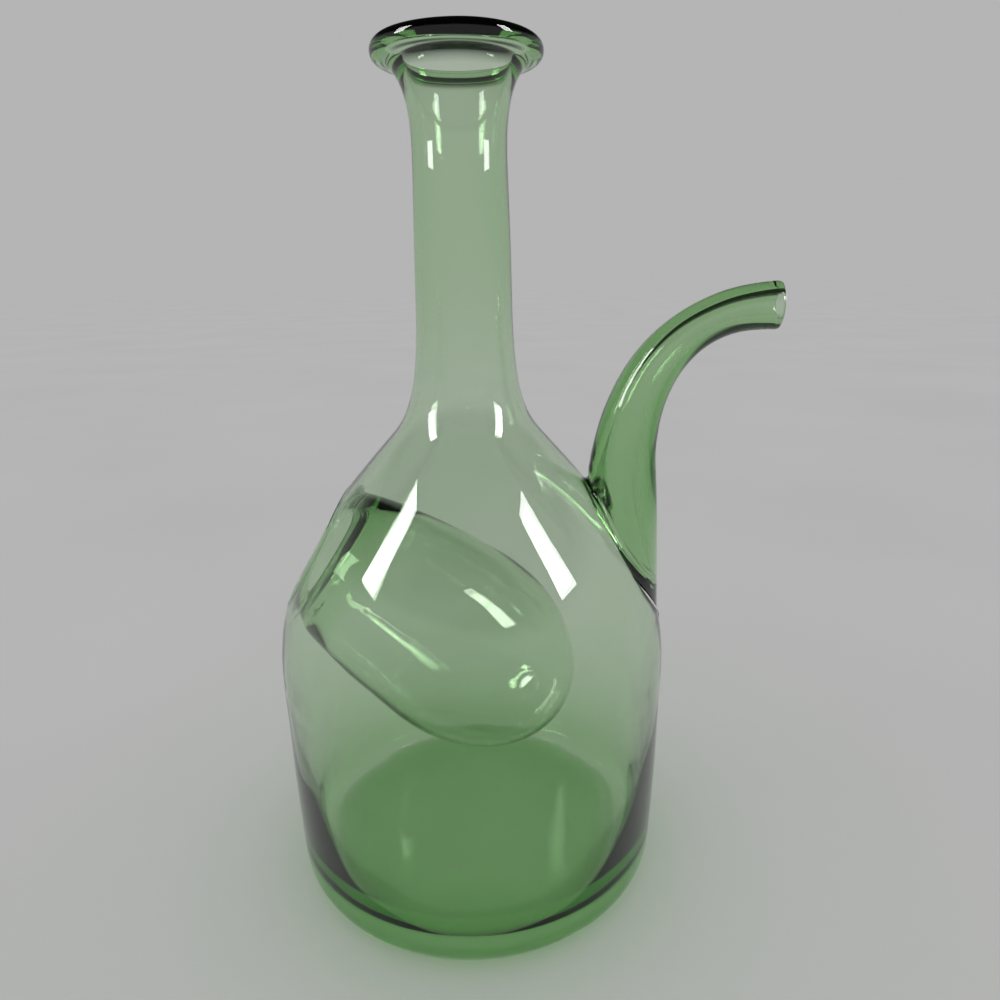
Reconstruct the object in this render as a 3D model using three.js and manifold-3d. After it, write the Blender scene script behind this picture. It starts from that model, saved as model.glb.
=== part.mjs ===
// Hand-blown green glass wine decanter: a bottle-shaped vessel with a thick lip laid round its mouth, an
// ice pocket let into its shoulder, and a curved pouring spout welded on opposite the pocket.
// Millimetres, +Z up. The origin is the middle of the flat base; the spout points to +X, the pocket to -X.

import * as THREE from 'three';
import { mergeVertices } from 'three/addons/utils/BufferGeometryUtils.js';
import Module from 'manifold-3d';

const { lerp, smoothstep, degToRad } = THREE.MathUtils;

// Vessel, outside, from the base up
const heelRadius = 82;
const baseCornerRadius = 15;
const bodyRadius = 83.6;
const bodyHeight = 100;
const shoulderRise = 100;
const shoulderTopRadius = 30;
const shoulderSlope = 42;
const neckRootLength = 71;
const neckRootRadius = 18.8;
const neckLength = 32;
const throatRadius = 17.9;
const flareRise = 30;
const flareRadius = 26.2;

// How far the outline's curves hold their end directions, as shares of their rise
const shoulderFootHold = 0.4;
const shoulderTopHold = 0.45;
const neckRootHold = 0.25;
const flareFootHold = 0.6;
const flareLipHold = 0.2;

// Vessel, walls and inside
const floorThickness = 5.5;
const floorRadius = 64;
const bowlHeight = 92;
const bowlFloorHold = 0.5;
const bowlWallHold = 0.5;
const bodyWall = 2.1;
const shoulderWall = 2.1;
const neckWall = 3.5;
const flareWall = 3;

// Lip: a round bead of glass laid on the end of the flare
const lipThickness = 7;

// Ice pocket: a blown bulb on a tilted axis, its mouth flush with the shoulder
const pocketMouthRise = 51;
const pocketTilt = 37;
const pocketMouthRadius = 29;
const pocketBulbRadius = 42.5;
const pocketBulbDepth = 79;
const pocketEndLength = 56;
const pocketMouthHold = 0.3;
const pocketMouthFlare = 0.45;
const pocketBulbHold = 0.35;
const pocketWall = 1.4;
const pocketCollarWall = 5.5;
const pocketCollarDepth = 24;

// Pouring spout: a drawn tube on a wide foot, upright at its root and level at its tip
const spoutRootRise = 59;
const spoutStraightRise = 21;
const spoutRise = 68;
const spoutReach = 57.5;
const spoutLowerHold = 0.5;
const spoutUpperHold = 0.72;
const spoutDip = 0.7;
const spoutFootReach = 17.4;
const spoutFootHalfWidth = 24.9;
const spoutFootBoreHalfWidth = 15;
const spoutRootFlare = 0.4;
const spoutRootRadius = 14.2;
const spoutWaistRadius = 8.6;
const spoutWaistPlace = 0.72;
const spoutDrawnIn = 0.6;
const spoutTipRadius = 9.4;
const spoutRootWall = 4.6;
const spoutTipWall = 3.4;
const spoutEdgeRadius = 0.9;

// Clearance between pieces that were welded hot
const weldGap = 0.3;

// How far a cutting solid runs past the surface that it cuts
const cutOverrun = 2;

// Fineness of the facets
const vesselSides = 48;
const pocketSides = 36;
const spoutSides = 24;

const wasm = await Module();
wasm.setup();

// A closed solid that can be joined and cut, from a geometry whose shared corners are merged
function solid(geometry) {
  const bare = geometry.clone();
  bare.deleteAttribute('normal');
  bare.deleteAttribute('uv');
  const merged = mergeVertices(bare, 1e-4);
  const corners = merged.index.array;
  const triangles = [];
  for (let i = 0; i < corners.length; i += 3) {
    const [a, b, c] = corners.slice(i, i + 3);
    if (a !== b && b !== c && c !== a) triangles.push(a, b, c);
  }
  return new wasm.Manifold(new wasm.Mesh({
    numProp: 3,
    vertProperties: new Float32Array(merged.attributes.position.array),
    triVerts: new Uint32Array(triangles),
  }));
}

function geometryOf(cutSolid) {
  const mesh = cutSolid.getMesh();
  const geometry = new THREE.BufferGeometry();
  geometry.setAttribute('position', new THREE.BufferAttribute(mesh.vertProperties, 3));
  geometry.setIndex(new THREE.BufferAttribute(mesh.triVerts, 1));
  geometry.computeVertexNormals();
  return geometry;
}

// Points of several curves run end to end, each pair being a curve and its number of steps
function outline(...stretches) {
  const points = [];
  for (const [curve, steps] of stretches) {
    const run = curve.getPoints(steps);
    points.push(...(points.length ? run.slice(1) : run));
  }
  return points;
}

// The profile moved sideways by an offset that depends on the height; a positive offset is inwards
function offsetProfile(points, offsetAt) {
  return points.map((point, i) => {
    const before = points[Math.max(i - 1, 0)];
    const after = points[Math.min(i + 1, points.length - 1)];
    const along = after.clone().sub(before).normalize();
    const offset = offsetAt(point.y);
    return new THREE.Vector2(point.x - along.y * offset, point.y + along.x * offset);
  });
}

// A profile of radius and height, turned round the Z axis
function turned(points, sides) {
  return new THREE.LatheGeometry(points, sides).rotateX(Math.PI / 2);
}

function glass(name, geometry, color) {
  const material = new THREE.MeshStandardMaterial({
    color, roughness: 0.04, metalness: 0, transparent: true, opacity: 0.45,
  });
  const mesh = new THREE.Mesh(geometry, material);
  mesh.name = name;
  return mesh;
}

// Heights that the pieces share
const shoulderTopHeight = bodyHeight + shoulderRise;
const neckRootHeight = shoulderTopHeight + neckRootLength;
const throatHeight = neckRootHeight + neckLength;
const flareHeight = throatHeight + flareRise;

// The shoulder leaves the wall upright and reaches the neck at its slope, and the neck's root takes it over
const slope = degToRad(shoulderSlope);
const downShoulder = new THREE.Vector2(Math.sin(slope), -Math.cos(slope));
const shoulderTop = new THREE.Vector2(shoulderTopRadius, shoulderTopHeight);
const shoulderCurve = new THREE.CubicBezierCurve(
  new THREE.Vector2(bodyRadius, bodyHeight),
  new THREE.Vector2(bodyRadius, bodyHeight + shoulderFootHold * shoulderRise),
  shoulderTop.clone().addScaledVector(downShoulder, shoulderTopHold * shoulderRise),
  shoulderTop,
);
const neckRootCurve = new THREE.CubicBezierCurve(
  shoulderTop,
  shoulderTop.clone().addScaledVector(downShoulder, -neckRootHold * neckRootLength),
  new THREE.Vector2(lerp(neckRootRadius, throatRadius, -1), neckRootHeight - neckLength),
  new THREE.Vector2(neckRootRadius, neckRootHeight),
);
const flareCurve = new THREE.CubicBezierCurve(
  new THREE.Vector2(throatRadius, throatHeight),
  new THREE.Vector2(throatRadius, throatHeight + flareFootHold * flareRise),
  new THREE.Vector2(lerp(throatRadius, flareRadius, flareLipHold), flareHeight - flareLipHold * flareRise),
  new THREE.Vector2(flareRadius, flareHeight),
);

const wallOutline = outline(
  [shoulderCurve, 11],
  [neckRootCurve, 6],
  [new THREE.LineCurve(neckRootCurve.v3, flareCurve.v0), 1],
  [flareCurve, 7],
);
const baseOutline = outline(
  [new THREE.LineCurve(new THREE.Vector2(0, 0), new THREE.Vector2(heelRadius - baseCornerRadius, 0)), 1],
  [new THREE.EllipseCurve(heelRadius - baseCornerRadius, baseCornerRadius, baseCornerRadius, baseCornerRadius,
    -Math.PI / 2, 0), 5],
  [new THREE.QuadraticBezierCurve(new THREE.Vector2(heelRadius, baseCornerRadius),
    new THREE.Vector2(bodyRadius, bodyHeight / 2), shoulderCurve.v0), 3],
);
const outerOutline = [...baseOutline, ...wallOutline.slice(1)];

function wallAt(height) {
  if (height < shoulderTopHeight) {
    return lerp(bodyWall, shoulderWall, smoothstep(height, bodyHeight, shoulderTopHeight));
  }
  if (height < neckRootHeight) {
    return lerp(shoulderWall, neckWall, smoothstep(height, shoulderTopHeight, neckRootHeight));
  }
  return lerp(neckWall, flareWall, smoothstep(height, throatHeight, flareHeight));
}

// Inside, the wall thickens towards the base into a soft bowl with a flat floor
function innerOutline() {
  const upper = offsetProfile(wallOutline, wallAt);
  const bowlRadius = bodyRadius - bodyWall;
  const bowl = new THREE.CubicBezierCurve(
    new THREE.Vector2(floorRadius, floorThickness),
    new THREE.Vector2(lerp(floorRadius, bowlRadius, bowlFloorHold), floorThickness),
    new THREE.Vector2(bowlRadius, lerp(bowlHeight, floorThickness, bowlWallHold)),
    new THREE.Vector2(bowlRadius, bowlHeight),
  );
  const floor = new THREE.LineCurve(new THREE.Vector2(0, floorThickness), bowl.v0);
  return [...outline([floor, 1], [bowl, 9]), ...upper];
}

function vesselShell() {
  return turned([...outerOutline, ...innerOutline().reverse()], vesselSides);
}

// The vessel's outside as one full solid, grown by a clearance, for trimming what is welded to it
function vesselEnvelope(clearance) {
  const grown = offsetProfile(outerOutline.slice(1), () => -clearance);
  const top = grown[grown.length - 1];
  return turned([new THREE.Vector2(0, -clearance), ...grown, new THREE.Vector2(0, top.y)], vesselSides);
}

// The highest point of the shoulder that lies below or outside a limit, as x (radius) and y (height)
function shoulderPoint(isBefore) {
  let low = 0;
  let high = 1;
  for (let i = 0; i < 40; i += 1) {
    const middle = (low + high) / 2;
    if (isBefore(shoulderCurve.getPoint(middle))) low = middle;
    else high = middle;
  }
  return shoulderCurve.getPoint(low);
}

// Ice pocket, drawn upright with its mouth at height 0 and its bulb below, then tilted into the shoulder
const pocketCurve = new THREE.CubicBezierCurve(
  new THREE.Vector2(pocketMouthRadius, 0),
  new THREE.Vector2(lerp(pocketMouthRadius, pocketBulbRadius, pocketMouthFlare),
    -pocketMouthHold * pocketBulbDepth),
  new THREE.Vector2(pocketBulbRadius, (pocketBulbHold - 1) * pocketBulbDepth),
  new THREE.Vector2(pocketBulbRadius, -pocketBulbDepth),
);
const pocketEndCurve = new THREE.EllipseCurve(0, -pocketBulbDepth, pocketBulbRadius, pocketEndLength,
  0, -Math.PI / 2, true);
const pocketOutline = outline([pocketCurve, 7], [pocketEndCurve, 7]).reverse();
pocketOutline[0].x = 0;

const pocketPlace = new THREE.Object3D();
{
  const mouth = shoulderPoint((point) => point.y < bodyHeight + pocketMouthRise);
  pocketPlace.position.set(-mouth.x, 0, mouth.y);
  pocketPlace.rotation.y = -degToRad(90 - pocketTilt);
  pocketPlace.updateMatrix();
}

// The pocket's outside, run on past its mouth so that the shoulder can trim it
function pocketEnvelope(clearance) {
  const run = pocketOutline.slice(1).map((point) => point.clone());
  const grown = [new THREE.Vector2(0, pocketOutline[0].y - clearance),
    ...offsetProfile(run, () => -clearance)];
  const mouthRadius = pocketMouthRadius + clearance;
  grown.push(new THREE.Vector2(mouthRadius, pocketMouthRadius), new THREE.Vector2(0, pocketMouthRadius));
  return turned(grown, pocketSides).applyMatrix4(pocketPlace.matrix);
}

function pocketCavity() {
  const wall = (height) => lerp(pocketCollarWall, pocketWall, smoothstep(-height, 0, pocketCollarDepth));
  const run = offsetProfile(pocketOutline.slice(1), wall);
  const mouthRadius = pocketMouthRadius - pocketCollarWall;
  const points = [new THREE.Vector2(0, pocketOutline[0].y + pocketWall), ...run,
    new THREE.Vector2(mouthRadius, pocketMouthRadius), new THREE.Vector2(0, pocketMouthRadius)];
  return turned(points, pocketSides).applyMatrix4(pocketPlace.matrix);
}

// Spout: a straight tapered tube bent along its centre line, with a foot that widens sideways
const spoutRoot = shoulderPoint((point) => point.y < bodyHeight + spoutRootRise);
const spoutFootToe = shoulderPoint((point) => point.x > spoutRoot.x + spoutFootReach);
const spoutFootDepth = spoutRoot.y - spoutFootToe.y + cutOverrun;
const spoutBend = spoutRoot.y + spoutStraightRise;
const spoutLine = new THREE.CurvePath();
spoutLine.add(new THREE.LineCurve3(
  new THREE.Vector3(spoutRoot.x, 0, spoutRoot.y - spoutFootDepth),
  new THREE.Vector3(spoutRoot.x, 0, spoutBend),
));
spoutLine.add(new THREE.CubicBezierCurve3(
  new THREE.Vector3(spoutRoot.x, 0, spoutBend),
  new THREE.Vector3(spoutRoot.x, 0, spoutBend + spoutLowerHold * spoutRise),
  new THREE.Vector3(spoutRoot.x + (1 - spoutUpperHold) * spoutReach, 0, spoutBend + spoutRise + spoutDip),
  new THREE.Vector3(spoutRoot.x + spoutReach, 0, spoutBend + spoutRise),
));
const spoutLength = spoutLine.getLength();

// Lengths along the spout where its foot ends and its waist lies
const spoutFootEnd = spoutFootDepth + spoutStraightRise;
const spoutWaist = lerp(spoutFootEnd, spoutLength, spoutWaistPlace);
const spoutTaper = new THREE.SplineCurve([
  new THREE.Vector2(spoutFootReach, 0),
  new THREE.Vector2(lerp(spoutRootRadius, spoutFootReach, spoutRootFlare), spoutFootDepth),
  new THREE.Vector2(spoutRootRadius, spoutFootEnd),
  new THREE.Vector2(lerp(spoutRootRadius, spoutWaistRadius, spoutDrawnIn), (spoutFootEnd + spoutWaist) / 2),
  new THREE.Vector2(spoutWaistRadius, spoutWaist),
  new THREE.Vector2(spoutTipRadius, spoutLength),
]);

// How many times wider than deep the tube is at a length along it: a long oval in the foot, round above
function footSpread(length, halfDepth, halfWidth) {
  if (halfDepth === 0) return 1;
  const rounding = smoothstep(length, spoutFootDepth / 2, spoutFootEnd + spoutRootRadius);
  return lerp(halfWidth / halfDepth, 1, rounding);
}

function bentAlongSpout(points, halfWidth) {
  const geometry = new THREE.LatheGeometry(points, spoutSides);
  const position = geometry.attributes.position;
  for (let i = 0; i < position.count; i += 1) {
    const length = position.getY(i);
    const share = Math.min(Math.max(length / spoutLength, 0), 1);
    const centre = spoutLine.getPointAt(share);
    const along = spoutLine.getTangentAt(share);
    const depth = position.getX(i);
    const width = -position.getZ(i);
    const past = length - share * spoutLength;
    position.setXYZ(
      i,
      centre.x + along.z * depth + along.x * past,
      width * footSpread(length, Math.hypot(depth, width), halfWidth),
      centre.z - along.x * depth + along.z * past,
    );
  }
  return geometry;
}

function spoutWallAt(length) {
  return lerp(spoutRootWall, spoutTipWall, smoothstep(length, spoutFootEnd, spoutLength));
}

function spoutOutside() {
  const side = spoutTaper.getPoints(24).filter((point) => point.y < spoutLength - spoutEdgeRadius);
  const edge = new THREE.EllipseCurve(spoutTipRadius - spoutEdgeRadius, spoutLength - spoutEdgeRadius,
    spoutEdgeRadius, spoutEdgeRadius, 0, Math.PI / 2);
  const points = [new THREE.Vector2(0, 0), ...side, ...edge.getPoints(2), new THREE.Vector2(0, spoutLength)];
  return bentAlongSpout(points, spoutFootHalfWidth);
}

// The bore runs from inside the vessel, through its wall, to past the tip
function spoutBore() {
  const side = spoutTaper.getPoints(18).map((point) => new THREE.Vector2(
    Math.min(point.x, spoutRootRadius) - spoutWallAt(point.y), point.y));
  const past = new THREE.Vector2(side[side.length - 1].x, spoutLength + cutOverrun);
  const points = [new THREE.Vector2(0, 0), ...side, past, new THREE.Vector2(0, past.y)];
  return bentAlongSpout(points, spoutFootBoreHalfWidth);
}

// Lip, drawn round the flare's end and lifted into place
function lipRing() {
  const radius = lipThickness / 2;
  const end = wallOutline[wallOutline.length - 1];
  const before = wallOutline[wallOutline.length - 2];
  const along = end.clone().sub(before).normalize();
  const middle = new THREE.Vector2(end.x - along.y * flareWall / 2, along.x * flareWall / 2);
  const halfSeat = Math.asin(flareWall / lipThickness);
  const reach = radius * Math.cos(halfSeat) + weldGap;
  const centre = middle.clone().addScaledVector(along, reach);
  const facing = Math.atan2(along.y, along.x);
  const bead = new THREE.EllipseCurve(centre.x, centre.y, radius, radius,
    facing - Math.PI + halfSeat, facing + Math.PI - halfSeat).getPoints(12);
  return turned([...bead, bead[0]], vesselSides);
}

const vesselSolid = solid(vesselShell())
  .subtract(solid(pocketEnvelope(weldGap)))
  .subtract(solid(spoutBore()));
const pocketSolid = solid(pocketEnvelope(0))
  .subtract(solid(pocketCavity()))
  .intersect(solid(vesselEnvelope(0)));
const spoutSolid = solid(spoutOutside())
  .subtract(solid(spoutBore()))
  .subtract(solid(vesselEnvelope(weldGap)));

const decanter = new THREE.Group();
decanter.add(glass('vessel', geometryOf(vesselSolid), 0x8fb58a));
decanter.add(glass('ice_pocket', geometryOf(pocketSolid), 0x5f9a63));
decanter.add(glass('pouring_spout', geometryOf(spoutSolid), 0x76a878));

const lip = glass('lip_wrap', lipRing(), 0x35603a);
lip.position.z = flareHeight;
decanter.add(lip);

export default decanter;
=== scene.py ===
"""Looks of a hand-blown green glass wine decanter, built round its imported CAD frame.

The vessel, the lip, the ice pocket and the pouring spout were melted into one another, so their glass
runs on smoothly from piece to piece. They are therefore shaped together as one cage of quads, in
millimetres, which is brought to metres, smoothed and only then parted along the welds into the four pieces.
"""

import logging
import math
from dataclasses import dataclass, field
from enum import IntEnum
from typing import Callable, Sequence, Union

import bmesh
import bpy
import numpy as np
from mathutils import Matrix, Vector, noise
from mathutils.geometry import interpolate_bezier


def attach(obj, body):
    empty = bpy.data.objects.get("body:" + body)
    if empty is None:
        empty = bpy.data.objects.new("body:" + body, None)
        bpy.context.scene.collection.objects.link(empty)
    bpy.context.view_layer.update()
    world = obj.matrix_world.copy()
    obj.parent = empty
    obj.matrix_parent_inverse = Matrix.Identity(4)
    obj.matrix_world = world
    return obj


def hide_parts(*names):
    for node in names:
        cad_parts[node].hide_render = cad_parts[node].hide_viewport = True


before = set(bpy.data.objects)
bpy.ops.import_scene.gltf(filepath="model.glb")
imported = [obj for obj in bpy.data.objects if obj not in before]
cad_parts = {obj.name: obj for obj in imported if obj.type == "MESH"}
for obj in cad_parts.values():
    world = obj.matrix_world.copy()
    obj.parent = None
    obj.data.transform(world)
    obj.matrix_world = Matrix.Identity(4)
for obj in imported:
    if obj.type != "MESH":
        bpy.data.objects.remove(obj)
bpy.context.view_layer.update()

log = logging.getLogger("decanter")

MM = 0.001
BODY = "root"

# Corners round the vessel and round a tube, and columns on each side of a hole's middle.
COLUMNS = 32
TUBE_SIDES = 24
BLOCK_COLUMNS = 3

# Steps of a curve, rounds of a search, and how the cage is smoothed.
CURVE_STEPS = 60
BISECT_ROUNDS = 40
SMOOTH_LEVELS = 2
HUG_ROUNDS = 8

Ring = list[bmesh.types.BMVert]


class Piece(IntEnum):
    """The pieces of glass, numbered as the cage's faces are marked."""

    VESSEL = 0
    LIP = 1
    POCKET = 2
    SPOUT = 3


def lerp(low: float, high: float, share: float) -> float:
    """Returns the value at a share of the way from low to high."""
    return low + (high - low) * share


def smoothstep(value: float, low: float, high: float) -> float:
    """Returns 0 below low, 1 above high, and a soft rise between them."""
    share = min(max((value - low) / (high - low), 0.0), 1.0)
    return share * share * (3 - 2 * share)


def bezier(start: Vector, first: Vector, second: Vector, end: Vector) -> list[Vector]:
    """Returns the points of a cubic curve in a plane.

    Args:
        start: The point where the curve starts.
        first: The handle of the start.
        second: The handle of the end.
        end: The point where the curve ends.

    Returns:
        The curve's points, both ends included.
    """
    return [p.to_2d() for p in interpolate_bezier(
        start.to_3d(), first.to_3d(), second.to_3d(), end.to_3d(), CURVE_STEPS)]


def turns() -> list[float]:
    """Returns the angles of a tube's corners."""
    return [math.tau * i / TUBE_SIDES for i in range(TUBE_SIDES)]


def catmull(points: Sequence[Vector], steps: int = 30) -> list[Vector]:
    """Returns points of a smooth curve through the given points, with some steps between two of them."""
    curve = []
    for i in range(len(points) - 1):
        before, start = points[max(i - 1, 0)], points[i]
        end, after = points[i + 1], points[min(i + 2, len(points) - 1)]
        for k in range(steps):
            t = k / steps
            curve.append(0.5 * (2 * start + (end - before) * t
                                + (2 * before - 5 * start + 4 * end - after) * t ** 2
                                + (3 * start - before - 3 * end + after) * t ** 3))
    return curve + [points[-1].copy()]


def bisect(low: float, high: float, is_before: Callable[[float], bool]) -> float:
    """Returns the value between low and high at which is_before turns false."""
    for _ in range(BISECT_ROUNDS):
        middle = (low + high) / 2
        if is_before(middle):
            low = middle
        else:
            high = middle
    return low


@dataclass
class Outline:
    """A curve that gives a radius for each height.

    Attributes:
        points: Radius and height of each point, from the lowest to the highest.
        radii: The radii of the points.
        heights: The heights of the points.
    """

    points: list[Vector]
    radii: np.ndarray = field(init=False)
    heights: np.ndarray = field(init=False)

    def __post_init__(self) -> None:
        self.radii = np.array([p.x for p in self.points])
        self.heights = np.array([p.y for p in self.points])

    def radius(self, height: float) -> float:
        """Returns the radius at a height."""
        return float(np.interp(height, self.heights, self.radii))

    def slope(self, height: float) -> float:
        """Returns how fast the radius grows with height."""
        step = 0.5
        return (self.radius(height + step) - self.radius(height - step)) / (2 * step)

    def lengths(self) -> list[float]:
        """Returns the distance along the curve to each point."""
        steps = [(b - a).length for a, b in zip(self.points, self.points[1:])]
        return [sum(steps[:i]) for i in range(len(self.points))]

    def walk(self, start: Vector, middle_height: float, distance: float) -> Vector:
        """Returns where a walk over the turned surface ends.

        Args:
            start: The point on the surface where the walk starts.
            middle_height: The height of the point above the X axis that the walk leads away from.
            distance: The length of the walk.

        Returns:
            The point on the surface.
        """
        lengths = self.lengths()
        radius = math.hypot(start.x, start.y)
        place = Vector((radius * math.atan2(start.y, start.x),
                        float(np.interp(start.z, self.heights, lengths))))
        away = place - Vector((0.0, float(np.interp(middle_height, self.heights, lengths))))
        place += away.normalized() * distance
        height = float(np.interp(place.y, lengths, self.heights))
        turn = place.x / radius
        return Vector((self.radius(height) * math.cos(turn), self.radius(height) * math.sin(turn), height))

    def drop(self, start: Vector, along: Vector, reach: float = 45.0) -> Vector:
        """Returns where a line meets the turned surface of this outline.

        Args:
            start: A point on the line, near the surface.
            along: The line's direction, from outside the surface to inside.
            reach: How far before and after the start the surface is looked for.

        Returns:
            The point on the surface.
        """
        def is_outside(share: float) -> bool:
            point = start + along * share
            return math.hypot(point.x, point.y) > self.radius(point.z)
        return start + along * bisect(-reach, reach, is_outside)


@dataclass
class GlassSkin:
    """One closed skin of glass, grown ring by ring as quads, in millimetres."""

    bm: bmesh.types.BMesh = field(default_factory=bmesh.new)
    join_gap: float = 0.001

    def spin(self, profile: Sequence[Vector]) -> None:
        """Turns a profile of radius and height, both ends on the axis, round the Z axis.

        Args:
            profile: The points of the profile in order.
        """
        verts = [self.bm.verts.new((p.x, 0.0, p.y)) for p in profile]
        edges = [self.bm.edges.new(pair) for pair in zip(verts, verts[1:])]
        bmesh.ops.spin(self.bm, geom=verts + edges, cent=(0, 0, 0), axis=(0, 0, 1), angle=math.tau,
                       steps=COLUMNS, use_merge=True)
        bmesh.ops.remove_doubles(self.bm, verts=self.bm.verts, dist=self.join_gap)

    def mark(self, piece: Piece, is_part: Callable[[Vector], bool]) -> None:
        """Marks the faces whose middle passes a test as part of a piece."""
        for face in self.bm.faces:
            if is_part(face.calc_center_median()):
                face.material_index = piece

    def open(self, is_hole: Callable[[Vector], bool], turn: Callable[[Vector], float]) -> Ring:
        """Cuts a hole into the vessel's skin.

        Args:
            is_hole: Tells from a face's middle whether the face goes.
            turn: Gives a corner's angle round the hole.

        Returns:
            The corners of the hole's edge, in the order of their angles, from the corner nearest to angle 0.
        """
        before = {v for v in self.bm.verts if v.is_boundary}
        faces = [f for f in self.bm.faces
                 if f.material_index == Piece.VESSEL and is_hole(f.calc_center_median())]
        bmesh.ops.delete(self.bm, geom=faces, context="FACES")
        rim = [v for v in self.bm.verts if v.is_boundary and v not in before]
        nudge = 0.001
        return sorted(rim, key=lambda v: (turn(v.co) + nudge) % math.tau)

    def grow(self, ring: Ring, places: Sequence[Vector], piece: Piece) -> Ring:
        """Adds a band of quads on an open ring.

        Args:
            ring: The corners of the open ring, in order.
            places: Where the corners of the new ring go, in the same order.
            piece: The piece that the band is part of.

        Returns:
            The corners of the new ring, in the same order.
        """
        edges = [a_edge for a, b in zip(ring, ring[1:] + ring[:1])
                 if (a_edge := self.bm.edges.get((a, b))) is not None]
        made = bmesh.ops.extrude_edge_only(self.bm, edges=edges)["geom"]
        new = {v for v in made if isinstance(v, bmesh.types.BMVert)}
        for face in made:
            if isinstance(face, bmesh.types.BMFace):
                face.material_index = piece
        grown = [next(e.other_vert(v) for e in v.link_edges if e.other_vert(v) in new) for v in ring]
        for vert, place in zip(grown, places):
            vert.co = place
        return grown

    def close(self, ring: Ring, tip: Vector, piece: Piece) -> None:
        """Closes an open ring to a point.

        Args:
            ring: The corners of the open ring, in order.
            tip: The point.
            piece: The piece that the new faces are part of.
        """
        last = self.grow(ring, [tip] * len(ring), piece)
        bmesh.ops.pointmerge(self.bm, verts=last, merge_co=tip)

    def bridge(self) -> None:
        """Joins the two open rings that are left with a band of quads."""
        bmesh.ops.bridge_loops(self.bm, edges=[e for e in self.bm.edges if e.is_boundary])

    def to_mesh(self, name: str) -> bpy.types.Mesh:
        """Returns the skin as a mesh in metres, its faces pointing out of the glass."""
        bmesh.ops.recalc_face_normals(self.bm, faces=self.bm.faces)
        bmesh.ops.scale(self.bm, vec=(MM, MM, MM), verts=self.bm.verts)
        mesh = bpy.data.meshes.new(name)
        self.bm.to_mesh(mesh)
        self.bm.free()
        return mesh


@dataclass
class Lip:
    """The round bead of glass that is melted onto the end of the flare, in millimetres.

    Attributes:
        outer_seam: The angle round the bead's middle at which its outside leaves the flare.
        bead_end: The angle at which its top runs into the mouth.
        melted_row: The radius and height of the row between the bead and the inner seam.
        inner_seam: The radius and height at which the lip ends in the mouth.
    """

    thickness: float = 7.0
    ring_radius: float = 27.76
    ring_height: float = 336.43
    outer_seam: float = -88.0
    bead_end: float = 132.0
    bead_steps: int = 8
    melted_row: tuple[float, float] = (23.95, 337.91)
    inner_seam: tuple[float, float] = (22.93, 337.42)

    def profile(self) -> list[Vector]:
        """Returns the lip's profile, from its seam on the flare round to its seam in the mouth."""
        start, end = math.radians(self.outer_seam), math.radians(self.bead_end)
        radius = self.thickness / 2
        turns = [lerp(start, end, i / (self.bead_steps - 1)) for i in range(self.bead_steps)]
        bead = [Vector((self.ring_radius + radius * math.cos(t), self.ring_height + radius * math.sin(t)))
                for t in turns]
        return bead + [Vector(self.melted_row), Vector(self.inner_seam)]

    def mark(self, skin: GlassSkin) -> None:
        """Marks the lip's faces on the skin."""
        low = self.ring_height + self.thickness / 2 * math.sin(math.radians(self.outer_seam))
        skin.mark(Piece.LIP, lambda c: c.z > low and math.hypot(c.x, c.y) > self.inner_seam[0])


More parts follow.
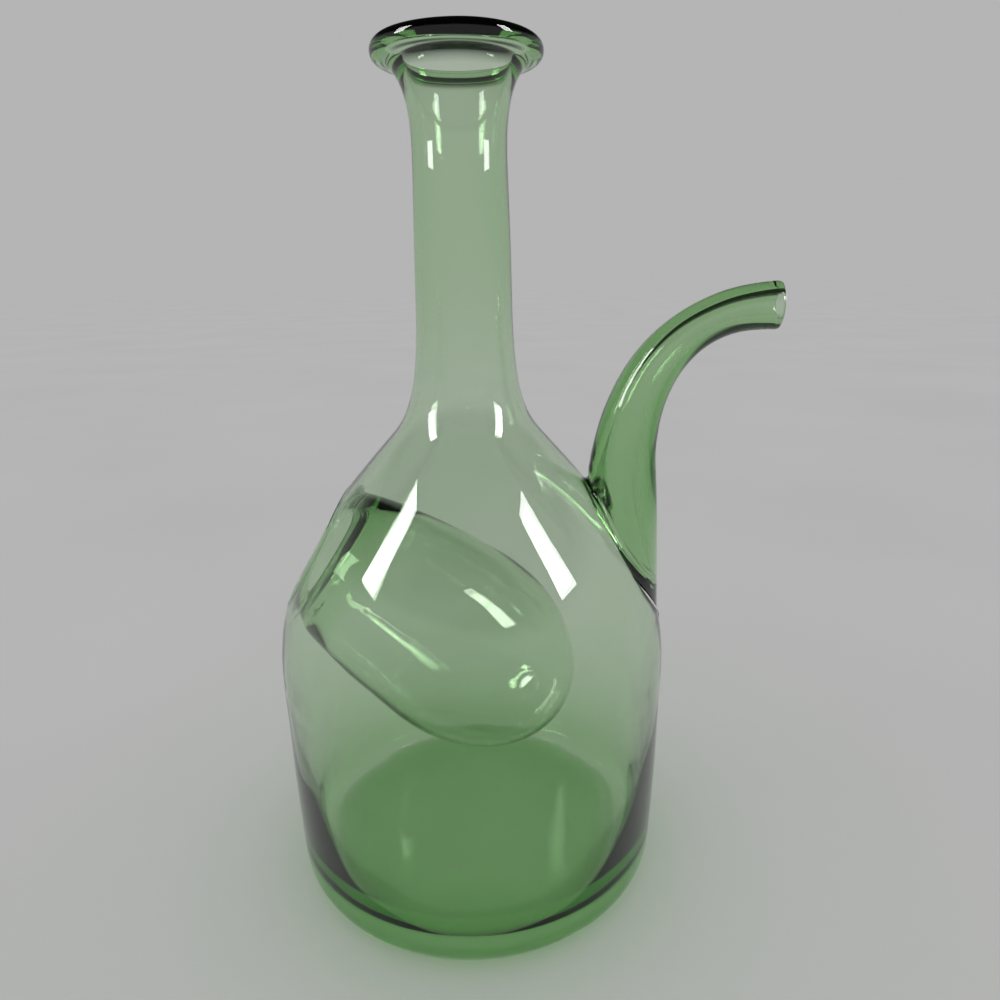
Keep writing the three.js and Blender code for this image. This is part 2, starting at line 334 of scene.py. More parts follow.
@dataclass
class Vessel:
    """The blown vessel: thick base, body, shoulder, neck and flare, in millimetres."""

    heel_radius: float = 82.0
    base_corner: float = 15.0
    side_radius: float = 83.15
    side_height: float = 50.0
    body_radius: float = 83.6
    body_height: float = 100.0
    body_hold: float = 40.0
    shoulder_top_radius: float = 30.0
    shoulder_top: float = 200.0
    shoulder_slope: float = 42.0
    shoulder_hold: float = 45.0
    neck_foot_hold: float = 17.75
    neck_foot: float = 239.0
    neck_root_radius: float = 18.8
    neck_root: float = 271.0
    throat_radius: float = 17.9
    throat: float = 303.0
    throat_hold: float = 0.6
    flare_radius: float = 26.2
    flare_top: float = 333.0
    flare_hold: float = 0.2
    floor: float = 5.5
    floor_radius: float = 70.0
    bowl_height: float = 92.0
    bowl_wall_hold: float = 0.6
    bowl_floor_hold: float = 0.45
    body_wall: float = 2.1
    neck_wall: float = 3.5
    flare_wall: float = 3.0
    flare_rows: tuple[tuple[float, float], ...] = (
        (19.27, 320.6), (20.48, 324.9), (21.96, 328.2), (23.65, 330.7), (25.5, 332.2))
    mouth_rows: tuple[tuple[float, float], ...] = (
        (22.17, 337.05), (21.45, 336.28), (20.59, 334.63), (19.39, 331.57), (17.64, 326.61), (16.0, 320.4))
    bowl_rows: tuple[float, ...] = (0.0, 0.18, 0.36, 0.53, 0.68, 0.8, 0.9, 1.0)
    base_rows: tuple[float, ...] = (0.0, 28.0, 51.0)
    base_edge: float = 4.0
    corner_turns: tuple[float, ...] = (22.0, 50.0, 76.0)
    floor_rows: tuple[float, ...] = (60.0, 42.0, 21.0, 0.0)
    block_low: float = 117.0
    block_high: float = 194.0
    block_margin: float = 0.1
    iron_low: float = 96.0
    iron_high: float = 206.0
    iron_facing: tuple[float, float] = (0.8, 0.97)
    lower_rows: tuple[float, ...] = (24.0, 38.0, 54.0, 71.0, 88.0, 103.0)
    block_rows: tuple[float, ...] = (117.0, 129.5, 142.0, 155.0, 168.0, 181.0, 194.0)
    upper_rows: tuple[float, ...] = (204.0, 213.0, 224.0, 240.0, 260.0, 282.0, 302.0, 313.0)
    outside: Outline = field(init=False)
    inside: Outline = field(init=False)

    def __post_init__(self) -> None:
        """Draws the outside and the inside of the wall."""
        slope = math.radians(self.shoulder_slope)
        down = Vector((math.sin(slope), -math.cos(slope)))
        top = Vector((self.shoulder_top_radius, self.shoulder_top))
        foot = Vector((self.body_radius, self.body_height))
        neck = Vector((self.neck_root_radius, self.neck_root))
        throat = Vector((self.throat_radius, self.throat))
        flare = Vector((self.flare_radius, self.flare_top))
        rise = self.flare_top - self.throat
        points = [Vector((self.heel_radius, self.base_corner)), Vector((self.side_radius, self.side_height))]
        points += bezier(foot, foot + Vector((0, self.body_hold)), top + self.shoulder_hold * down, top)
        points += bezier(top, top - self.neck_foot_hold * down,
                         Vector((2 * neck.x - throat.x, self.neck_foot)), neck)[1:]
        points += bezier(throat, throat + Vector((0, self.throat_hold * rise)),
                         Vector((lerp(throat.x, flare.x, self.flare_hold), flare.y - self.flare_hold * rise)),
                         flare)
        self.outside = Outline(points)
        upper = [self.within(p.y) for p in points[2:]]
        self.inside = Outline(self.bowl()[::-1] + sorted(upper, key=lambda p: p.y))

    def wall(self, height: float) -> float:
        """Returns the wall's thickness at a height above the bowl."""
        if height < self.neck_root:
            share = smoothstep(height, self.shoulder_top, self.neck_root)
            return lerp(self.body_wall, self.neck_wall, share)
        return lerp(self.neck_wall, self.flare_wall, smoothstep(height, self.throat, self.flare_top))

    def within(self, height: float) -> Vector:
        """Returns the point of the inside that faces the outside at a height."""
        slope = self.outside.slope(height)
        inward = Vector((-1.0, slope)).normalized()
        return Vector((self.outside.radius(height), height)) + inward * self.wall(height)

    def bowl(self) -> list[Vector]:
        """Returns the inside of the bowl from the wall down to the flat floor's edge."""
        radius = self.body_radius - self.body_wall
        return bezier(Vector((radius, self.bowl_height)),
                      Vector((radius, lerp(self.bowl_height, self.floor, self.bowl_wall_hold))),
                      Vector((lerp(self.floor_radius, radius, self.bowl_floor_hold), self.floor)),
                      Vector((self.floor_radius, self.floor)))

    def blow(self, skin: GlassSkin, lip: Lip) -> None:
        """Turns the vessel with its lip as a closed skin.

        Args:
            skin: The skin that the vessel starts.
            lip: The lip that the wall runs into.
        """
        flat = self.heel_radius - self.base_corner
        profile = [Vector((radius, 0)) for radius in self.base_rows + (flat - self.base_edge,)]
        for degrees in self.corner_turns:
            turn = math.radians(degrees)
            profile.append(Vector((flat + self.base_corner * math.sin(turn),
                                   self.base_corner * (1 - math.cos(turn)))))
        rows = self.lower_rows + self.block_rows + self.upper_rows
        profile += [Vector((self.outside.radius(height), height)) for height in rows]
        profile += [Vector(row) for row in self.flare_rows]
        profile += lip.profile()
        profile += [Vector(row) for row in self.mouth_rows]
        profile += [self.within(height) for height in reversed(rows) if height > self.body_height]
        bowl = self.bowl()
        profile += [bowl[round(share * (len(bowl) - 1))] for share in self.bowl_rows]
        profile += [Vector((radius, self.floor)) for radius in self.floor_rows]
        skin.spin(profile)
        lip.mark(skin)

    def is_block(self, middle: Vector, side: int, is_outer: bool) -> bool:
        """Tells whether a face is in the block of the shoulder that a hole is cut from.

        Args:
            middle: The face's middle.
            side: 1 for the spout's side and -1 for the pocket's.
            is_outer: Whether the hole is in the outside of the wall or in its inside.

        Returns:
            True where the face is in the block.
        """
        reach = (BLOCK_COLUMNS + self.block_margin) * math.tau / COLUMNS
        radius = math.hypot(middle.x, middle.y)
        middle_of_wall = self.outside.radius(middle.z) - self.wall(middle.z) / 2
        return (self.block_low < middle.z < self.block_high
                and abs(math.atan2(middle.y, side * middle.x)) < reach
                and (radius > middle_of_wall) == is_outer)

    def iron(self, bm: bmesh.types.BMesh) -> None:
        """Presses the wall round the pocket and the spout back onto its turned surface.

        Args:
            bm: The smooth skin, in metres.
        """
        bm.normal_update()
        for vert in bm.verts:
            place = vert.co / MM
            if (self.iron_low < place.z < self.iron_high
                    and all(face.material_index == Piece.VESSEL for face in vert.link_faces)):
                radius = math.hypot(place.x, place.y)
                is_outer = radius > self.outside.radius(place.z) - self.wall(place.z) / 2
                outline = self.outside if is_outer else self.inside
                slope = outline.slope(place.z)
                out = Vector((place.x / radius, place.y / radius, -slope)).normalized()
                lift = (radius - outline.radius(place.z)) / math.sqrt(1 + slope * slope)
                facing = abs(vert.normal.dot(out))
                vert.co -= out * lift * MM * smoothstep(facing, *self.iron_facing)


# How far a ring lies outside a radius, how deep it lies past the wall, and the piece it belongs to.
PlacedRing = tuple[float, float, Piece]


@dataclass
class IcePocket:
    """The blown bulb let into the shoulder, open to the outside, in millimetres."""

    vessel: Vessel
    mouth_height: float = 151.0
    tilt: float = 37.0
    mouth_radius: float = 29.0
    bulb_radius: float = 42.5
    bulb_depth: float = 79.0
    end_length: float = 56.0
    wall: float = 1.4
    collar_wall: float = 7.5
    collar_depth: float = 34.0
    side_holds: tuple[float, float] = (0.3, 0.65)
    side_spread: float = 0.45
    mouth_rings: tuple[PlacedRing, ...] = (
        (4.0, 0.0, Piece.VESSEL), (0.5, 0.0, Piece.VESSEL), (-1.6, 0.25, Piece.POCKET))
    rim_rings: tuple[PlacedRing, ...] = ((1.1, 0.9, Piece.POCKET), (0.0, 3.0, Piece.POCKET))
    seat_rings: tuple[PlacedRing, ...] = (
        (5.0, 0.0, Piece.VESSEL), (1.8, 0.0, Piece.VESSEL), (0.5, 1.6, Piece.POCKET))
    stations: tuple[float, ...] = (21.0, 32.0, 44.0, 56.0, 68.0, 79.0)
    end_turns: tuple[float, ...] = (17.0, 34.0, 50.0, 64.0, 77.0)
    mouth: Vector = field(init=False)
    along: Vector = field(init=False)
    up: Vector = field(init=False)
    side: Outline = field(init=False)

    def __post_init__(self) -> None:
        """Finds the mouth's middle and the pocket's directions, and draws the bulb's side."""
        tilt = math.radians(self.tilt)
        self.mouth = Vector((-self.vessel.outside.radius(self.mouth_height), 0, self.mouth_height))
        self.along = Vector((math.cos(tilt), 0, -math.sin(tilt)))
        self.up = Vector((math.sin(tilt), 0, math.cos(tilt)))
        near, far = (hold * self.bulb_depth for hold in self.side_holds)
        side = bezier(Vector((0, self.mouth_radius)),
                      Vector((near, lerp(self.mouth_radius, self.bulb_radius, self.side_spread))),
                      Vector((far, self.bulb_radius)),
                      Vector((self.bulb_depth, self.bulb_radius)))
        self.side = Outline([Vector((p.y, p.x)) for p in side])

    def radius(self, station: float, shrink: float) -> float:
        """Returns the bulb's radius at a distance along its axis, without a share of its wall."""
        wall = lerp(self.collar_wall, self.wall, smoothstep(station, 0, self.collar_depth))
        return self.side.radius(station) - shrink * wall

    def turn(self, point: Vector) -> float:
        """Returns a point's angle round the axis, from the top."""
        away = point - self.mouth
        return math.atan2(away.y, away.dot(self.up))

    def point(self, radius: float, turn: float, station: float) -> Vector:
        """Returns the point at a radius, an angle and a distance along the axis."""
        across = self.up * math.cos(turn) + Vector((0, 1, 0)) * math.sin(turn)
        return self.mouth + across * radius + self.along * station

    def on_wall(self, radius: float, outline: Outline, depth: float = 0.0) -> list[Vector]:
        """Returns a ring round the axis that lies on the vessel's wall.

        Args:
            radius: The ring's radius.
            outline: The side of the wall that it lies on.
            depth: How far along the axis the ring is pushed past the wall.

        Returns:
            The ring's points, in order.
        """
        return [outline.drop(self.point(radius, t, 0.0), self.along) + self.along * depth for t in turns()]

    def ring(self, radius: float, station: float) -> list[Vector]:
        """Returns a flat ring round the axis."""
        return [self.point(radius, t, station) for t in turns()]

    def let_in(self, skin: GlassSkin) -> None:
        """Cuts the shoulder open and lets the pocket in, its outer and its inner side.

        Args:
            skin: The skin that holds the vessel.
        """
        outside, inside = self.vessel.outside, self.vessel.inside
        hollow = self.mouth_radius - self.collar_wall
        cavity = [(self.on_wall(radius + spread, outside, depth), piece)
                  for radius, rings in ((self.mouth_radius, self.mouth_rings), (hollow, self.rim_rings))
                  for spread, depth, piece in rings]
        bulb = [(self.on_wall(self.mouth_radius + spread, inside, depth), piece)
                for spread, depth, piece in self.seat_rings]
        mouth = skin.open(lambda c: self.vessel.is_block(c, -1, True), self.turn)
        seat = skin.open(lambda c: self.vessel.is_block(c, -1, False), self.turn)
        for ring, start, shrink in ((mouth, cavity, 1.0), (seat, bulb, 0.0)):
            for places, piece in start:
                ring = skin.grow(ring, places, piece)
            bands = [self.ring(self.radius(station, shrink), station) for station in self.stations]
            halfway = [near.co.lerp(far, 0.5) for near, far in zip(ring, bands[0])]
            for band in [halfway] + bands:
                ring = skin.grow(ring, band, Piece.POCKET)
            radius = self.bulb_radius - shrink * self.wall
            length = self.end_length - shrink * self.wall
            for degrees in self.end_turns:
                turn = math.radians(degrees)
                ring = skin.grow(ring, self.ring(radius * math.cos(turn),
                                                 self.bulb_depth + length * math.sin(turn)), Piece.POCKET)
            skin.close(ring, self.point(0.0, 0.0, self.bulb_depth + length), Piece.POCKET)


@dataclass
class PouringSpout:
    """The drawn and bent tube with its wide foot on the shoulder, in millimetres."""

    vessel: Vessel
    root_height: float = 159.0
    straight_rise: float = 21.0
    rise: float = 68.0
    reach: float = 57.5
    foot_reach: float = 17.4
    foot_half_width: float = 24.9
    bore_half_width: float = 16.5
    root_radius: float = 14.2
    root_flare: float = 0.4
    waist_radius: float = 8.6
    waist_place: float = 0.72
    tip_radius: float = 9.4
    foot_wall: float = 4.6
    root_wall: float = 6.4
    tip_wall: float = 5.1
    fillet: float = 1.6
    overrun: float = 2.0
    rise_hold: float = 0.5
    reach_hold: float = 0.28
    crest: float = 0.7
    taper_hold: float = 0.6
    meet_reach: float = 15.0
    first_level: float = 9.0
    end_level: float = 3.5
    levels: int = 10
    outer_shares: tuple[float, ...] = (0.0, 0.25, 0.5, 0.76)
    outer_end: tuple[tuple[float, float], ...] = ((0.9, 0.0), (0.2, 0.3), (0.0, 0.9))
    end_face: float = 0.8
    bore_end: tuple[tuple[float, float], ...] = ((0.25, -0.2), (1.0, 0.0))
    bore_shares: tuple[float, ...] = (0.7, 0.35, 0.0)
    hem: float = 2.6
    bore_lift: float = 1.0
    bore_spreads: tuple[float, float] = (1.2, 4.5)

    def __post_init__(self) -> None:
        """Draws the centre line and the taper."""
        outside = self.vessel.outside
        self.root = outside.radius(self.root_height)
        toe = bisect(self.vessel.body_height, self.root_height,
                     lambda height: outside.radius(height) > self.root + self.foot_reach)
        self.foot_depth = self.root_height - toe + self.overrun
        bend = self.root_height + self.straight_rise
        start = Vector((self.root, bend))
        curve = bezier(start, start + Vector((0, self.rise_hold * self.rise)),
                       start + Vector((self.reach_hold * self.reach, self.rise + self.crest)),
                       start + Vector((self.reach, self.rise)))
        self.line = [Vector((self.root, self.root_height - self.foot_depth))] + curve
        self.lengths = [0.0]
        for a, b in zip(self.line, self.line[1:]):
            self.lengths.append(self.lengths[-1] + (b - a).length)
        self.length = self.lengths[-1]
        self.foot_end = self.foot_depth + self.straight_rise
        self.waist = lerp(self.foot_end, self.length, self.waist_place)
        taper = catmull([
            Vector((self.foot_reach, 0)),
            Vector((lerp(self.root_radius, self.foot_reach, self.root_flare), self.foot_depth)),
            Vector((self.root_radius, self.foot_end)),
            Vector((lerp(self.root_radius, self.waist_radius, self.taper_hold),
                    (self.foot_end + self.waist) / 2)),
            Vector((self.waist_radius, self.waist)),
            Vector((self.tip_radius, self.length)),
        ])
        self.taper = Outline(taper)

    def wall(self, length: float) -> float:
        """Returns the glass's thickness at a length along the spout."""
        if length < self.foot_end:
            share = smoothstep(length, self.foot_depth / 2, self.foot_end)
            return lerp(self.foot_wall, self.root_wall, share)
        return lerp(self.root_wall, self.tip_wall, smoothstep(length, self.foot_end, self.length))

    def surface(self, length: float, turn: float, is_bore: bool) -> Vector:
        """Returns a point of the spout's outside or of its bore.

        Args:
            length: The distance along the spout, from below its foot.
            turn: The angle round the spout, from the side away from the vessel.
            is_bore: Whether the point is on the bore.

        Returns:
            The point.
        """
        depth = self.taper.radius(length)
        widest = self.foot_half_width
        if is_bore:
            depth -= self.wall(length)
            widest = self.bore_half_width
        rounding = smoothstep(length, self.foot_depth / 2, self.foot_end + self.root_radius)
        width = lerp(widest, depth, rounding)
        return self.offset(length, depth * math.cos(turn), width * math.sin(turn))

    def offset(self, length: float, depth: float, width: float) -> Vector:
        """Returns a point beside the centre line.

        Args:
            length: The distance along the centre line.
            depth: How far the point lies to the side away from the vessel.
            width: How far it lies along Y.

        Returns:
            The point.
        """
        def place(at: float) -> Vector:
            return Vector((float(np.interp(at, self.lengths, [p.x for p in self.line])),
                           float(np.interp(at, self.lengths, [p.y for p in self.line]))))
        step = 0.4
        here = place(length)
        along = (place(min(length + step, self.length)) - place(max(length - step, 0.0))).normalized()
        return Vector((here.x + along.y * depth, width, here.y - along.x * depth))

    def meets(self, turn: float, outline: Outline, is_bore: bool) -> float:
        """Returns the length at which a line along the spout's side leaves the vessel's wall.

        Args:
            turn: The line's angle round the spout.
            outline: The side of the vessel's wall.
            is_bore: Whether the line is on the bore.

        Returns:
            The length.
        """
        def is_inside(length: float) -> bool:
            point = self.surface(length, turn, is_bore)
            return math.hypot(point.x, point.y) < outline.radius(point.z)
        return bisect(0.0, self.foot_end + self.meet_reach, is_inside)

    def slanted(self, share: float, is_bore: bool, outline: Outline, top: float,
                above: float = 0.0) -> list[Vector]:
        """Returns a ring between the vessel's wall and a level ring of the spout.

        Args:
            share: How far the ring is from the wall to the level ring.
            is_bore: Whether the ring is on the bore.
            outline: The side of the vessel's wall that it starts from.
            top: The length at which the level ring lies.
            above: How far above the wall a share of 0 lies.

        Returns:
            The ring's points, in order.
        """
        return [self.surface(lerp(self.meets(t, outline, is_bore) + above, top, share), t, is_bore)
                for t in turns()]

    def on_wall(self, outline: Outline, is_bore: bool, spread: float) -> list[Vector]:
        """Returns a ring that lies on the vessel's wall, a distance outside the weld.

        Args:
            outline: The side of the wall.
            is_bore: Whether the ring is round the bore or round the outside.
            spread: How far outside the spout's own surface the ring lies.

        Returns:
            The ring's points, in order.
        """
        places = []
        for turn in turns():
            point = self.surface(self.meets(turn, outline, is_bore), turn, is_bore)
            places.append(outline.walk(point, self.root_height, spread))
        return places

    def level(self, length: float, is_bore: bool, inset: float = 0.0) -> list[Vector]:
        """Returns a ring across the spout.

        Args:
            length: The distance along the spout.
            is_bore: Whether the ring is on the bore.
            inset: How much smaller the ring's radius is than the surface's.

        Returns:
            The ring's points, in order.
        """
        places = []
        for turn in turns():
            point = self.surface(length, turn, is_bore)
            middle = self.offset(length, 0.0, 0.0)
            places.append(point + (middle - point).normalized() * inset)
        return places

    def weld_on(self, skin: GlassSkin) -> None:
        """Cuts the shoulder open and grows the spout out of it, over its tip and back down its bore.

        Args:
            skin: The skin that holds the vessel.
        """
        outside, inside = self.vessel.outside, self.vessel.inside
        top = self.foot_end + self.first_level
        last = self.length - self.end_level
        levels = [lerp(top, last, i / (self.levels - 1)) for i in range(self.levels)]

        def turn(point: Vector) -> float:
            return math.atan2(point.y, point.x - self.root)

        ring = skin.open(lambda c: self.vessel.is_block(c, 1, True), turn)
        skin.open(lambda c: self.vessel.is_block(c, 1, False), turn)
        for spread in (self.fillet + self.hem, self.fillet):
            ring = skin.grow(ring, self.on_wall(outside, False, spread), Piece.VESSEL)
        outward = [self.slanted(share, False, outside, top, self.fillet) for share in self.outer_shares]
        outward += [self.level(length, False) for length in levels]
        outward += [self.level(self.length - before, False, inset) for before, inset in self.outer_end]
        back = [self.level(self.length, False, self.wall(self.length) - self.end_face)]
        back += [self.level(self.length - before, True, inset) for before, inset in self.bore_end]
        back += [self.level(length, True) for length in reversed(levels)]
        back += [self.slanted(share, True, outside, top) for share in self.bore_shares]
        for places in outward + back:
            ring = skin.grow(ring, places, Piece.SPOUT)
        ring = skin.grow(ring, self.slanted(0.0, True, inside, top, self.bore_lift), Piece.VESSEL)
        for spread in self.bore_spreads:
            ring = skin.grow(ring, self.on_wall(inside, True, spread), Piece.VESSEL)
        skin.bridge()


Operand = Union["Wire", float]


class Wire:
    """A node socket that takes part in arithmetic; each operation adds its Math node."""

    def __init__(self, shader: "Shader", socket: bpy.types.NodeSocket) -> None:
        """Wraps a socket of a shader's node."""
        self.shader = shader
        self.socket = socket

    def _maths(self, operation: str, *values: Operand) -> "Wire":
        """Returns the output of a new Math node."""
        return self.shader.node("ShaderNodeMath", {"operation": operation}, dict(enumerate(values)))

    def __sub__(self, other: Operand) -> "Wire":
        """Returns the difference."""
        return self._maths("SUBTRACT", self, other)

    def __rsub__(self, other: Operand) -> "Wire":
        """Returns the difference from another value."""
        return self._maths("SUBTRACT", other, self)

    def __mul__(self, other: Operand) -> "Wire":
        """Returns the product."""
        return self._maths("MULTIPLY", self, other)

    def max(self, other: Operand) -> "Wire":
        """Returns the larger value."""
        return self._maths("MAXIMUM", self, other)

    __rmul__ = __mul__


class Shader:
    """A node tree that is filled by one method."""

    def __init__(self, tree: bpy.types.NodeTree) -> None:
        """Empties a node tree."""
        self.tree = tree
        tree.nodes.clear()

    def node(self, kind: str, settings: dict | None = None, values: dict | None = None,
             output: str | int = 0) -> Wire:
        """Adds a node.

        Args:
            kind: The node's type.
            settings: The node's own settings; "stops" gives the places and colours of a ramp.
            values: A value or a wire for each input, by name or number.
            output: The output that is wrapped.

        Returns:
            The wrapped output.
        """
        made = self.tree.nodes.new(kind)
        for name, value in (settings or {}).items():
            if name == "stops":
                elements = made.color_ramp.elements
                while len(elements) < len(value):
                    elements.new(0.5)
                for element, (place, colour) in zip(elements, value):
                    element.position = place
                    element.color = colour
            else:
                setattr(made, name, value)
        for name, value in (values or {}).items():
            if isinstance(value, Wire):
                self.tree.links.new(value.socket, made.inputs[name])
            else:
                made.inputs[name].default_value = value
        outputs = made.outputs
        return Wire(self, outputs[output]) if len(outputs) else Wire(self, made.inputs[0])


@dataclass(frozen=True)
class Glass:
    """Clear green glass, whose colour comes from its depth; its surface has a faint to strong cast."""

    name: str
    absorption: tuple[float, float, float] = (0.34, 0.72, 0.21)
    density: float = 105.0
    ior: float = 1.5
    faint: tuple[float, float, float] = (0.985, 0.998, 0.98)
    strong: tuple[float, float, float] = (0.955, 0.985, 0.95)
    haze: float = 0.012
    clear: float = 0.99

    def material(self) -> bpy.types.Material:
        """Returns the material."""
        material = bpy.data.materials.new(self.name)
        material.use_nodes = True
        shader = Shader(material.node_tree)
        place = shader.node("ShaderNodeTexCoord", output="Object")
        cast = shader.node("ShaderNodeTexNoise", values={"Vector": place, "Scale": 9.0, "Detail": 2.0})
        tint = shader.node("ShaderNodeValToRGB", {"stops": (
            (0.35, (*self.strong, 1.0)), (0.65, (*self.faint, 1.0)))}, {"Fac": cast})
        haze = shader.node("ShaderNodeTexNoise", values={"Vector": place, "Scale": 60.0, "Detail": 3.0})
        weld = shader.node("ShaderNodeAttribute", {"attribute_name": "weld"}, output="Fac")
        surface = shader.node("ShaderNodeBsdfPrincipled", values={
            "Base Color": tint, "Roughness": haze * self.haze, "IOR": self.ior, "Transmission Weight": 1.0,
            "Alpha": 1 - weld})
        volume = shader.node("ShaderNodeVolumeAbsorption", values={
            "Color": (*self.absorption, 1.0), "Density": self.density})
        shadow = shader.node("ShaderNodeLightPath", output="Is Shadow Ray")
        diffuse = Wire(shader, shadow.socket.node.outputs["Is Diffuse Ray"])
        clear = shader.node("ShaderNodeBsdfTransparent", values={"Color": (*[self.clear] * 3, 1.0)})
        lit = shader.node("ShaderNodeMixShader", values={0: shadow.max(diffuse), 1: surface, 2: clear})
        shader.node("ShaderNodeOutputMaterial", values={"Surface": lit, "Volume": volume})
        return material


@dataclass(frozen=True)
class PaleFloor:
    """A plain pale matt floor.

    Attributes:
        colour: The middle grey of the floor.
        grain: How far its grey strays from that.
    """

    colour: float = 0.46
    grain: float = 0.02

    def material(self) -> bpy.types.Material:
        """Returns the material."""
        material = bpy.data.materials.new("pale_floor")
        material.use_nodes = True
        shader = Shader(material.node_tree)
        place = shader.node("ShaderNodeTexCoord", output="Object")
        grain = shader.node("ShaderNodeTexNoise", values={"Vector": place, "Scale": 3.0, "Detail": 2.0})
        low, high = self.colour * (1 - self.grain), self.colour * (1 + self.grain)
        tint = shader.node("ShaderNodeValToRGB", {"stops": (
            (0.3, (low, low, low, 1.0)), (0.7, (high, high, high, 1.0)))}, {"Fac": grain})
        surface = shader.node("ShaderNodeBsdfPrincipled", values={
            "Base Color": tint, "Roughness": 0.9, "Specular IOR Level": 0.0})
        shader.node("ShaderNodeOutputMaterial", values={"Surface": surface})
        return material


@dataclass
class Decanter:
    """All the glass, shaped together and parted along its welds.

    Attributes:
        lip: The lip.
        vessel: The vessel.
        weld_gap: How far the faces of a weld draw back into their piece, in metres.
        lip_reach: How far below the flare's top the lip's weld reaches, in metres.
        wave_depth: How deep the waves of the hand-blown skin are, in metres.
        waves: How many waves there are to a metre in each direction.
    """

    lip: Lip = field(default_factory=Lip)
    vessel: Vessel = field(default_factory=Vessel)
    weld_gap: float = 0.0001
    lip_reach: float = 0.01
    wave_depth: float = 0.00036
    waves: tuple[float, float, float] = (36.0, 36.0, 20.0)

    def cage(self) -> bpy.types.Object:
        """Returns the coarse cage of the whole decanter."""
        skin = GlassSkin()
        self.vessel.blow(skin, self.lip)
        IcePocket(self.vessel).let_in(skin)
        PouringSpout(self.vessel).weld_on(skin)
        obj = bpy.data.objects.new("cage", skin.to_mesh("cage"))
        bpy.context.scene.collection.objects.link(obj)
        smooth = obj.modifiers.new("smooth", "SUBSURF")
        smooth.levels = smooth.render_levels = SMOOTH_LEVELS
        smooth.use_limit_surface = True
        return obj

    def hug(self, obj: bpy.types.Object) -> None:
        """Moves the cage until the smooth skin runs through the points where its corners were placed."""
        count = len(obj.data.vertices)
        target = np.empty(count * 3)
        obj.data.vertices.foreach_get("co", target)
        place = target.copy()
        for _ in range(HUG_ROUNDS):
            smooth = obj.evaluated_get(bpy.context.evaluated_depsgraph_get())
            reached = np.empty(len(smooth.data.vertices) * 3)
            smooth.data.vertices.foreach_get("co", reached)
            place += target - reached[:count * 3]
            obj.data.vertices.foreach_set("co", place)
            obj.data.update()
            bpy.context.view_layer.update()

    def melt(self) -> bpy.types.Mesh:
        """Returns the smooth skin of the whole decanter."""
        obj = self.cage()
        self.hug(obj)
        smooth = obj.evaluated_get(bpy.context.evaluated_depsgraph_get())
        mesh = bpy.data.meshes.new_from_object(smooth)
        bpy.data.objects.remove(obj)
        self.ripple(mesh)
        return mesh

    def ripple(self, mesh: bpy.types.Mesh) -> None:
        """Evens the vessel's wall and lays the slight waves of hand-blown glass into the skin.

        Args:
            mesh: The skin.
        """
        bm = bmesh.new()
        bm.from_mesh(mesh)
        self.vessel.iron(bm)
        bm.normal_update()
        waves = Vector(self.waves)
        for vert in bm.verts:
            height = (noise.noise(vert.co * waves) + 1) / 2
            vert.co -= vert.normal * self.wave_depth * height
        bm.to_mesh(mesh)
        bm.free()

    def weld(self, bm: bmesh.types.BMesh) -> None:
        """Closes each weld of a piece with a strip of marked faces between its outer and its inner seam.

        Args:
            bm: The piece, open along its seams.
        """
        mask = bm.faces.layers.float.new("weld")
        seams = [e for e in bm.edges if e.is_boundary]
        for edge in seams:
            edge.smooth = False
        places = {e: (e.verts[0].co + e.verts[1].co) / 2 for e in seams}
        top = self.vessel.flare_top * MM - self.lip_reach
        welds = ([e for e in seams if places[e].z > top],
                 [e for e in seams if places[e].z <= top and places[e].x < 0],
                 [e for e in seams if places[e].z <= top and places[e].x >= 0])
        for weld in welds:
            if weld:
                strip = bmesh.ops.bridge_loops(bm, edges=weld)
                for face in strip["faces"]:
                    face[mask] = 1.0
                    face.smooth = False
                cut = bmesh.ops.subdivide_edges(bm, edges=strip["edges"], cuts=1, use_grid_fill=True)
                middle = [v for v in cut["geom_inner"] if isinstance(v, bmesh.types.BMVert)]
                bmesh.ops.recalc_face_normals(bm, faces=bm.faces)
                if bm.calc_volume(signed=True) < 0:
                    bmesh.ops.reverse_faces(bm, faces=bm.faces)
                bm.normal_update()
                for vert in middle:
                    vert.co -= vert.normal * self.weld_gap

    def piece(self, melt: bpy.types.Mesh, part: Piece, node: str) -> bpy.types.Object:
        """Returns one piece of glass, cut out of the melt.

        Args:
            melt: The smooth skin of the whole decanter.
            part: The piece.
            node: The CAD node that the piece stands for.

        Returns:
            The piece.
        """
        bm = bmesh.new()
        bm.from_mesh(melt)
        soft = bm.verts.layers.float_vector.new("soft")
        for vert in bm.verts:
            vert[soft] = vert.normal
        others = [f for f in bm.faces if f.material_index != part]
        bmesh.ops.delete(bm, geom=others, context="FACES")
        self.weld(bm)
        mask = bm.faces.layers.float["weld"]
        normals = [tuple(face.normal if face[mask] else loop.vert[soft])
                   for face in bm.faces for loop in face.loops]
        name = node + "_glass"
        mesh = bpy.data.meshes.new(name)
        for face in bm.faces:
            face.material_index = 0
        bm.to_mesh(mesh)
        bm.free()
        mesh.normals_split_custom_set(normals)
        mesh.attributes.remove(mesh.attributes["soft"])
        obj = bpy.data.objects.new(name, mesh)
        bpy.context.scene.collection.objects.link(obj)
        mesh.materials.append(Glass(name).material())
        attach(obj, BODY)
        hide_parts(node)
        return obj

    def build(self) -> list[bpy.types.Object]:
        """Returns the four pieces of glass."""
        melt = self.melt()
        nodes = {Piece.VESSEL: "vessel", Piece.LIP: "lip_wrap", Piece.POCKET: "ice_pocket",
                 Piece.SPOUT: "pouring_spout"}
        pieces = [self.piece(melt, part, node) for part, node in nodes.items()]
        bpy.data.meshes.remove(melt)
        return pieces


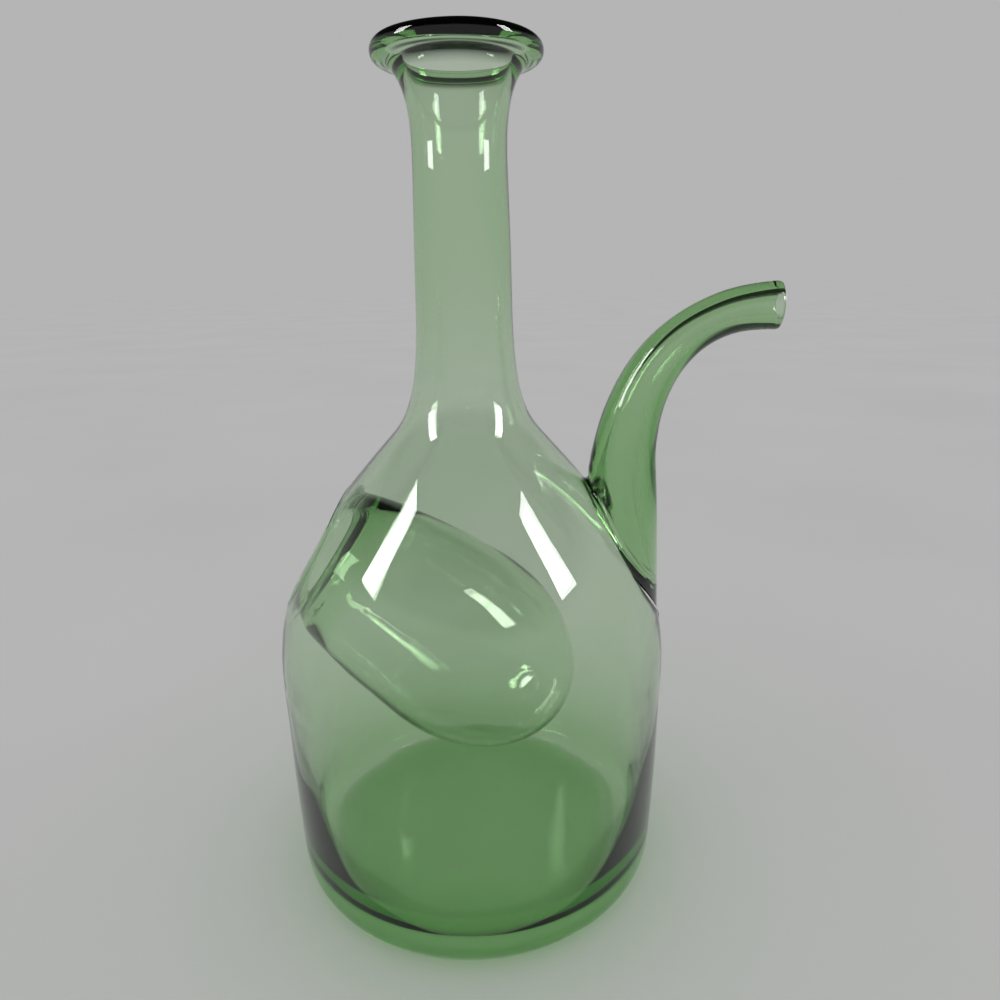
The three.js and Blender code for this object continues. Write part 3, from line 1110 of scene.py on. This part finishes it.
@dataclass
class Studio:
    """The floor, the light and the camera, in metres and degrees.

    The floor lies a small gap below the base, so that the two surfaces don't coincide.
    """

    floor_gap: float = 0.0003
    floor_size: float = 12.0
    panel_distance: float = 0.55
    panel_width: float = 0.135
    panel_low: float = 0.39
    panel_high: float = 0.82
    panel_glow: float = 14.0
    wall_low: float = 0.46
    wall_high: float = 0.02
    lens: float = 26.048
    sensor: float = 36.0
    near: float = 0.01
    heading: float = -3.64
    pitch: float = -17.31
    roll: float = 0.87
    place: tuple[float, float, float] = (0.03167, -0.29308, 0.26074)

    def floor(self) -> bpy.types.Object:
        """Lays a plain pale floor."""
        bm = bmesh.new()
        bmesh.ops.create_grid(bm, x_segments=1, y_segments=1, size=self.floor_size)
        mesh = bpy.data.meshes.new("floor")
        bm.to_mesh(mesh)
        bm.free()
        floor = bpy.data.objects.new("floor", mesh)
        floor.location.z = -self.floor_gap
        floor.data.materials.append(PaleFloor().material())
        bpy.context.scene.collection.objects.link(floor)
        return floor

    def panel(self, name: str, azimuth: float) -> None:
        """Hangs an upright soft panel light beside the decanter, which shines in its glass.

        Args:
            name: The light's name.
            azimuth: Its direction from the decanter, in degrees from +X.
        """
        light = bpy.data.lights.new(name, "AREA")
        light.shape = "RECTANGLE"
        light.size, light.size_y = self.panel_width, self.panel_high - self.panel_low
        light.energy = self.panel_glow * math.pi * light.size * light.size_y
        lamp = bpy.data.objects.new(name, light)
        turn = math.radians(azimuth)
        away = Vector((math.cos(turn), math.sin(turn), 0.0))
        lamp.location = away * self.panel_distance + Vector((0, 0, (self.panel_low + self.panel_high) / 2))
        lamp.rotation_euler = away.to_track_quat("Z", "Y").to_euler()
        lamp.visible_camera = lamp.visible_diffuse = False
        bpy.context.scene.collection.objects.link(lamp)

    def sky(self) -> None:
        """Sets a soft even light, and the pale backdrop that the camera and the glass see."""
        world = bpy.data.worlds.new("studio")
        world.use_nodes = True
        shader = Shader(world.node_tree)
        path = shader.node("ShaderNodeLightPath", output="Is Camera Ray")
        glossy = Wire(shader, path.socket.node.outputs["Is Glossy Ray"])
        through = Wire(shader, path.socket.node.outputs["Is Transmission Ray"])
        seen = path.max(glossy).max(through)
        way = shader.node("ShaderNodeTexCoord", output="Generated")
        height = shader.node("ShaderNodeSeparateXYZ", values={0: way}, output="Z")
        wall = shader.node("ShaderNodeValToRGB", {"stops": (
            (0.32, (*[self.wall_low] * 3, 1.0)), (0.5, (*[self.wall_high] * 3, 1.0)))}, {"Fac": height})
        light = shader.node("ShaderNodeBackground", values={"Color": (1.0, 1.0, 1.0, 1.0), "Strength": 1.0})
        backdrop = shader.node("ShaderNodeBackground", values={"Color": wall, "Strength": 1.0})
        mix = shader.node("ShaderNodeMixShader", values={0: seen, 1: light, 2: backdrop})
        shader.node("ShaderNodeOutputWorld", values={"Surface": mix})
        bpy.context.scene.world = world

    def camera(self) -> None:
        """Sets the camera as the photograph was taken."""
        camera = bpy.data.cameras.new("camera")
        camera.lens, camera.sensor_width, camera.clip_start = self.lens, self.sensor, self.near
        obj = bpy.data.objects.new("camera", camera)
        heading, pitch, roll = (math.radians(turn) for turn in (self.heading, self.pitch, self.roll))
        level = Vector((math.sin(heading), math.cos(heading), 0))
        forward = level * math.cos(pitch) + Vector((0, 0, math.sin(pitch)))
        right = forward.cross(Vector((0, 0, 1))).normalized()
        up = right.cross(forward)
        side = right * math.cos(roll) - up * math.sin(roll)
        top = right * math.sin(roll) + up * math.cos(roll)
        turned = Matrix((side, top, -forward)).transposed().to_4x4()
        obj.matrix_world = Matrix.Translation(Vector(self.place)) @ turned
        bpy.context.scene.collection.objects.link(obj)
        bpy.context.scene.camera = obj

    def set_up(self) -> None:
        """Sets up the floor, the light and the camera."""
        self.camera()
        self.floor()
        self.sky()
        self.panel("left_panel", -157.0)
        self.panel("right_panel", -18.0)
        bpy.context.scene.view_settings.view_transform = "Standard"


def main() -> None:
    """Builds the decanter and its studio."""
    logging.basicConfig(level=logging.INFO)
    Studio().set_up()
    for piece in Decanter().build():
        log.info("%s: %d faces", piece.name, len(piece.data.polygons))


if __name__ == "__main__":
    main()
